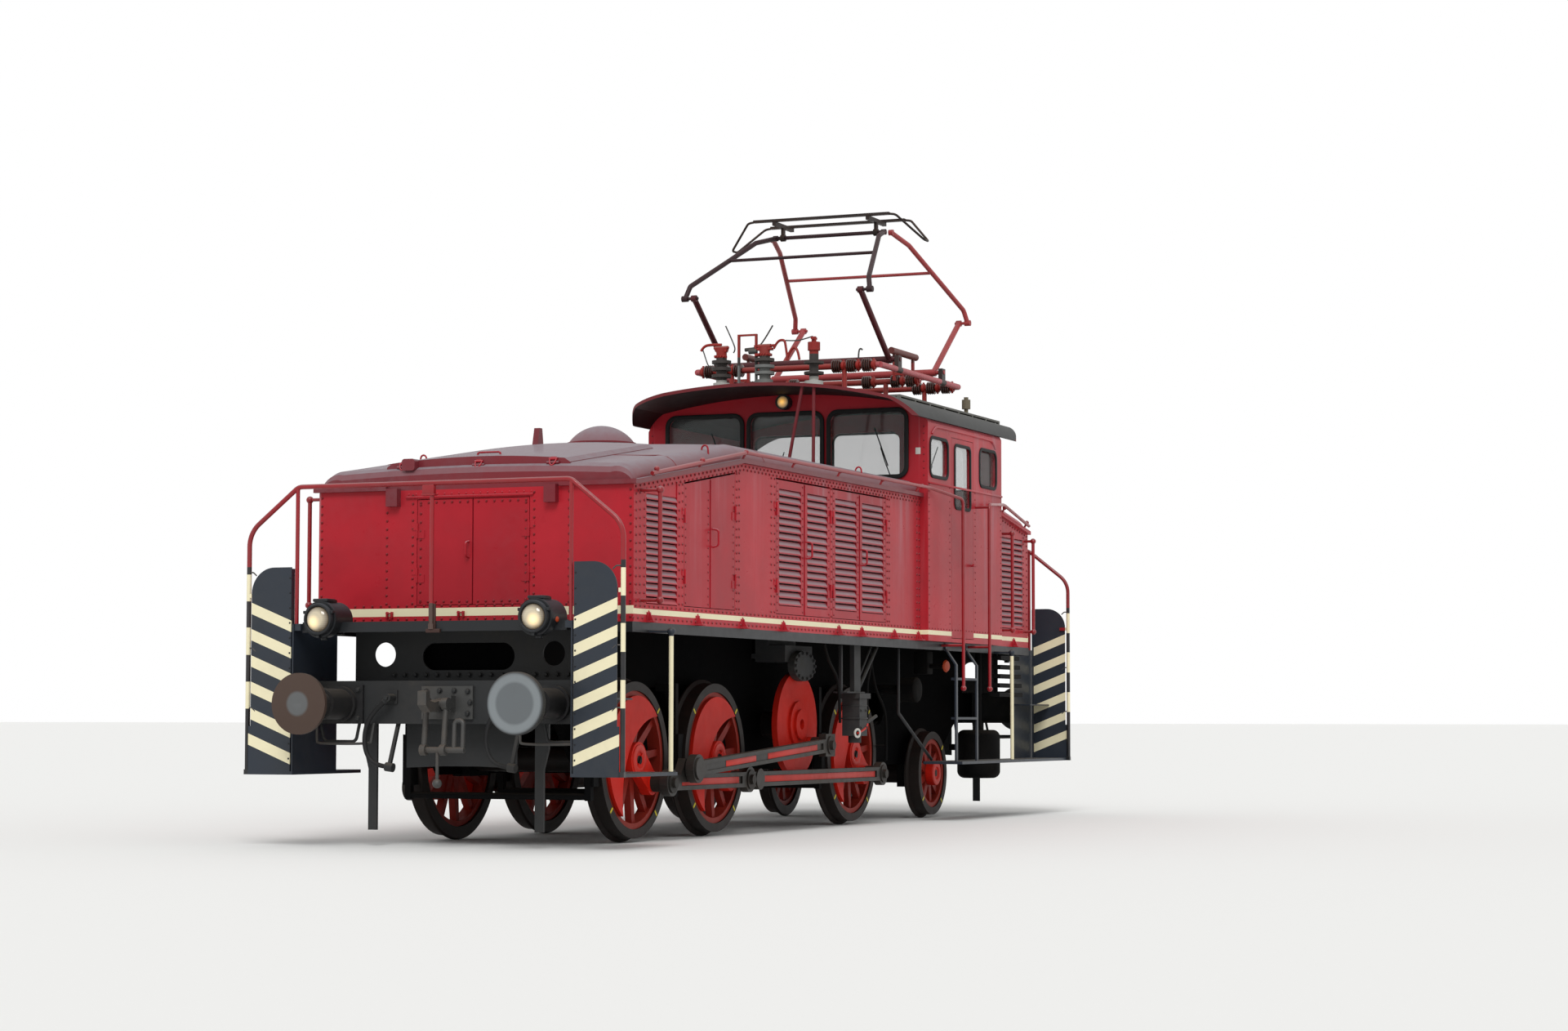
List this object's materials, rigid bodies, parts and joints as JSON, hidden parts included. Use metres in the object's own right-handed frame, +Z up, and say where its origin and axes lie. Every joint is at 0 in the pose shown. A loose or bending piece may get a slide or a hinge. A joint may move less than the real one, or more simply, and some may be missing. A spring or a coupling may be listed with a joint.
{
  "type": "rod-driven electric shunting locomotive",
  "caption": "Electric shunting locomotive with long and short bonnets, centre-rear cab, three rod-coupled axles, jackshaft, carrying axle, opening doors and a folding scissor current collector",
  "frame": {"origin": "midway between the buffer faces, on the centre plane, at the level of the flange tips", "axes": "+X towards the long bonnet's end, +Y towards the locomotive's left side, +Z up"},
  "size_m": [11.1, 3.0918, 5.672],
  "materials": {
    "body_red": "dusty wine red gloss paint",
    "rail_red": "red gloss paint",
    "wheel_red": "dirty red paint",
    "frame_black": "dusty black paint",
    "rod_steel": "oiled dark steel",
    "machine_grey": "grey machine paint",
    "roof_grey": "weathered grey paint",
    "cab_grey": "matt grey green paint",
    "hose_rubber": "dull black hose rubber",
    "window_glass": "flat clear glass"
  },
  "bodies": {
    "locomotive": {"main_frame": "frame_black", "axle_boxes": "frame_black", "beam_front": "frame_black", "beam_rear": "frame_black", "buffers_front": "frame_black", "buffers_rear": "frame_black", "draw_gear_front": "frame_black", "draw_gear_rear": "frame_black", "deck": "frame_black", "steps_front": "frame_black", "steps_rear": "frame_black", "bonnet_walls": "body_red", "bonnet_roof": "body_red", "roof_hatch": "body_red", "bonnet_rear": "body_red", "cab_walls": "body_red", "cab_roof": "body_red", "cab_inside": "cab_grey", "cab_glass": "window_glass", "headlamps": "frame_black", "rails_front": "rail_red", "rails_side": "rail_red", "brake_gear": "frame_black", "air_gear": "frame_black", "gear_cases": "frame_black", "motor_blocks": "machine_grey", "roof_gear": "roof_grey", "mast_base": "rail_red", "hose_front_left": "hose_rubber", "hose_front_right": "hose_rubber", "hose_rear_left": "hose_rubber", "hose_rear_right": "hose_rubber"},
    "wheelset_1": {"wheelset_1": "wheel_red"},
    "wheelset_2": {"wheelset_2": "wheel_red"},
    "wheelset_3": {"wheelset_3": "wheel_red"},
    "wheelset_carrying": {"wheelset_carrying": "wheel_red"},
    "jackshaft": {"jackshaft": "wheel_red"},
    "rods_left": {"rods_left": "rod_steel"},
    "rods_right": {"rods_right": "rod_steel"},
    "door_left_1": {"door_left_1": "body_red"},
    "door_right_1": {"door_right_1": "body_red"},
    "door_left_2": {"door_left_2": "body_red"},
    "door_right_2": {"door_right_2": "body_red"},
    "door_left_3": {"door_left_3": "body_red"},
    "door_right_3": {"door_right_3": "body_red"},
    "door_left_4": {"door_left_4": "body_red"},
    "door_right_4": {"door_right_4": "body_red"},
    "door_left_5": {"door_left_5": "body_red"},
    "door_right_5": {"door_right_5": "body_red"},
    "door_left_6": {"door_left_6": "body_red"},
    "door_right_6": {"door_right_6": "body_red"},
    "door_end_left": {"door_end_left": "body_red"},
    "door_cab_left": {"door_cab_left": "body_red"},
    "door_end_right": {"door_end_right": "body_red"},
    "door_cab_right": {"door_cab_right": "body_red"},
    "mast_lower_front": {"mast_lower_front": "rail_red"},
    "mast_upper_front": {"mast_upper_front": "rail_red"},
    "mast_lower_rear": {"mast_lower_rear": "rail_red"},
    "mast_upper_rear": {"mast_upper_rear": "rail_red"},
    "mast_shoes": {"mast_shoes": "machine_grey"}
  },
  "joints": [
    {"name": "wheelset_1_axle", "type": "hinge", "parent": "locomotive", "child": "wheelset_1", "pos_m": [3.465, 0, 0.623], "axis": [0, 1, 0], "continuous": true},
    {"name": "wheelset_2_axle", "type": "hinge", "parent": "locomotive", "child": "wheelset_2", "pos_m": [1.965, 0, 0.623], "axis": [0, 1, 0], "continuous": true},
    {"name": "wheelset_3_axle", "type": "hinge", "parent": "locomotive", "child": "wheelset_3", "pos_m": [-1.035, 0, 0.623], "axis": [0, 1, 0], "continuous": true},
    {"name": "wheelset_carrying_axle", "type": "hinge", "parent": "locomotive", "child": "wheelset_carrying", "pos_m": [-3.135, 0, 0.423], "axis": [0, 1, 0], "continuous": true},
    {"name": "jackshaft_axle", "type": "hinge", "parent": "locomotive", "child": "jackshaft", "pos_m": [0.44, 0, 0.886], "axis": [0, 1, 0], "continuous": true},
    {"name": "rods_left_pin", "type": "hinge", "parent": "wheelset_1", "child": "rods_left", "pos_m": [3.24663, 1, 0.44774], "axis": [0, 1, 0], "continuous": true},
    {"name": "rods_right_pin", "type": "hinge", "parent": "wheelset_1", "child": "rods_right", "pos_m": [3.64026, -1, 0.40463], "axis": [0, 1, 0], "continuous": true},
    {"name": "door_left_1_hinge", "type": "hinge", "parent": "locomotive", "child": "door_left_1", "pos_m": [3.662, 1.318, 2.2], "axis": [0, 0, -1], "range_deg": [0, 90]},
    {"name": "door_right_1_hinge", "type": "hinge", "parent": "locomotive", "child": "door_right_1", "pos_m": [3.662, -1.318, 2.2], "axis": [0, 0, 1], "range_deg": [0, 90]},
    {"name": "door_left_2_hinge", "type": "hinge", "parent": "locomotive", "child": "door_left_2", "pos_m": [2.714, 1.318, 2.2], "axis": [0, 0, 1], "range_deg": [0, 90]},
    {"name": "door_right_2_hinge", "type": "hinge", "parent": "locomotive", "child": "door_right_2", "pos_m": [2.714, -1.318, 2.2], "axis": [0, 0, -1], "range_deg": [0, 90]},
    {"name": "door_left_3_hinge", "type": "hinge", "parent": "locomotive", "child": "door_left_3", "pos_m": [1.886, 1.318, 2.2], "axis": [0, 0, -1], "range_deg": [0, 90]},
    {"name": "door_right_3_hinge", "type": "hinge", "parent": "locomotive", "child": "door_right_3", "pos_m": [1.886, -1.318, 2.2], "axis": [0, 0, 1], "range_deg": [0, 90]},
    {"name": "door_left_4_hinge", "type": "hinge", "parent": "locomotive", "child": "door_left_4", "pos_m": [0.721, 1.318, 2.2], "axis": [0, 0, 1], "range_deg": [0, 90]},
    {"name": "door_right_4_hinge", "type": "hinge", "parent": "locomotive", "child": "door_right_4", "pos_m": [0.721, -1.318, 2.2], "axis": [0, 0, -1], "range_deg": [0, 90]},
    {"name": "door_left_5_hinge", "type": "hinge", "parent": "locomotive", "child": "door_left_5", "pos_m": [0.665, 1.318, 2.2], "axis": [0, 0, -1], "range_deg": [0, 90]},
    {"name": "door_right_5_hinge", "type": "hinge", "parent": "locomotive", "child": "door_right_5", "pos_m": [0.665, -1.318, 2.2], "axis": [0, 0, 1], "range_deg": [0, 90]},
    {"name": "door_left_6_hinge", "type": "hinge", "parent": "locomotive", "child": "door_left_6", "pos_m": [-0.59, 1.318, 2.2], "axis": [0, 0, 1], "range_deg": [0, 90]},
    {"name": "door_right_6_hinge", "type": "hinge", "parent": "locomotive", "child": "door_right_6", "pos_m": [-0.59, -1.318, 2.2], "axis": [0, 0, -1], "range_deg": [0, 90]},
    {"name": "door_end_left_hinge", "type": "hinge", "parent": "locomotive", "child": "door_end_left", "pos_m": [4.553, 0.465, 2.15], "axis": [0, 0, 1], "range_deg": [0, 90]},
    {"name": "door_cab_left_hinge", "type": "hinge", "parent": "locomotive", "child": "door_cab_left", "pos_m": [-2.094, 1.343, 2.5], "axis": [0, 0, 1], "range_deg": [0, 90]},
    {"name": "door_end_right_hinge", "type": "hinge", "parent": "locomotive", "child": "door_end_right", "pos_m": [4.553, -0.465, 2.15], "axis": [0, 0, -1], "range_deg": [0, 90]},
    {"name": "door_cab_right_hinge", "type": "hinge", "parent": "locomotive", "child": "door_cab_right", "pos_m": [-2.094, -1.343, 2.5], "axis": [0, 0, -1], "range_deg": [0, 90]},
    {"name": "mast_lower_front_hinge", "type": "hinge", "parent": "locomotive", "child": "mast_lower_front", "pos_m": [-1.977, 0, 4.238], "axis": [0, -1, 0], "range_deg": [-34.2, 17.8]},
    {"name": "mast_lower_rear_hinge", "type": "hinge", "parent": "locomotive", "child": "mast_lower_rear", "pos_m": [-3.167, 0, 4.238], "axis": [0, 1, 0], "range_deg": [-34.2, 17.8]},
    {"name": "mast_upper_front_hinge", "type": "hinge", "parent": "mast_lower_front", "child": "mast_upper_front", "pos_m": [-1.24021, 0, 4.79725], "axis": [0, 1, 0], "range_deg": [-61.38, 32.18]},
    {"name": "mast_upper_rear_hinge", "type": "hinge", "parent": "mast_lower_rear", "child": "mast_upper_rear", "pos_m": [-3.90379, 0, 4.79725], "axis": [0, -1, 0], "range_deg": [-61.38, 32.18]},
    {"name": "mast_shoes_hinge", "type": "hinge", "parent": "mast_upper_front", "child": "mast_shoes", "pos_m": [-2.542, 0, 5.52213], "axis": [0, -1, 0], "range_deg": [-27.18, 14.38]}
  ],
  "couplings": [
    {"joint": "wheelset_2_axle", "follows": "wheelset_1_axle", "ratio": 1},
    {"joint": "wheelset_3_axle", "follows": "wheelset_1_axle", "ratio": 1},
    {"joint": "jackshaft_axle", "follows": "wheelset_1_axle", "ratio": 1},
    {"joint": "rods_left_pin", "follows": "wheelset_1_axle", "ratio": -1},
    {"joint": "rods_right_pin", "follows": "wheelset_1_axle", "ratio": -1},
    {"joint": "mast_lower_rear_hinge", "follows": "mast_lower_front_hinge", "ratio": 1},
    {"joint": "mast_upper_front_hinge", "follows": "mast_lower_front_hinge", "ratio": 1.78},
    {"joint": "mast_upper_rear_hinge", "follows": "mast_lower_front_hinge", "ratio": 1.78},
    {"joint": "mast_shoes_hinge", "follows": "mast_lower_front_hinge", "ratio": 0.78}
  ]
}
